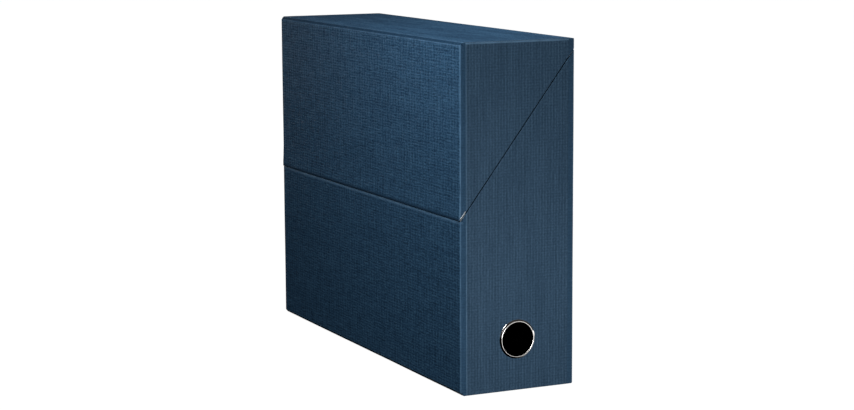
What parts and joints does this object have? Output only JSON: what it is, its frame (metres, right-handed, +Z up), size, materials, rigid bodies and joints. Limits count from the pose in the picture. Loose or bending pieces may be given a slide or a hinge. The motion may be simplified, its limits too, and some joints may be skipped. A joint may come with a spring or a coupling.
{
  "type": "filing box",
  "caption": "Upright rigid filing box in linen-textured covering, with a slanted lid hinged on its broad side and a metal finger ring in the spine.",
  "frame": {"origin": "centre of the underside, on the surface that the box stands on", "axes": "+Z up; -Y out of the spine, where the finger ring is; +X towards the wall that carries the hinge"},
  "size_m": [0.092, 0.3409, 0.255],
  "materials": {
    "linen_paper": "navy covering paper with a linen emboss, satin",
    "hinge_cloth": "navy book cloth",
    "floor_paper": "plain dark paper, matt",
    "lining_paper": "plain black paper, matt",
    "greyboard": "raw grey-white board at the cut edges",
    "ring_metal": "nickel-plated steel, polished"
  },
  "bodies": {
    "base": {"base_shell_board": "greyboard", "base_spine_board": "greyboard", "base_tail_board": "greyboard", "base_flap_cover": "linen_paper", "base_hinge_cover": "linen_paper", "floor_paper": "floor_paper", "base_spine_paper": "linen_paper", "base_tail_paper": "linen_paper", "base_wall_lining": "lining_paper", "base_spine_lining": "lining_paper", "base_tail_lining": "lining_paper", "ring_eyelet": "ring_metal", "ring_washer": "ring_metal", "hinge_cloth_base": "hinge_cloth"},
    "lid": {"lid_shell_board": "greyboard", "lid_spine_board": "greyboard", "lid_tail_board": "greyboard", "lid_wrap": "linen_paper", "lid_spine_paper": "linen_paper", "lid_tail_paper": "linen_paper", "lid_wall_lining": "lining_paper", "lid_spine_lining": "lining_paper", "lid_tail_lining": "lining_paper", "hinge_cloth_lid": "hinge_cloth"}
  },
  "joints": [
    {"name": "lid_hinge", "type": "hinge", "parent": "base", "child": "lid", "pos_m": [0.0462, 0, 0.247], "axis": [0, 1, 0], "range_deg": [0, 180]}
  ]
}
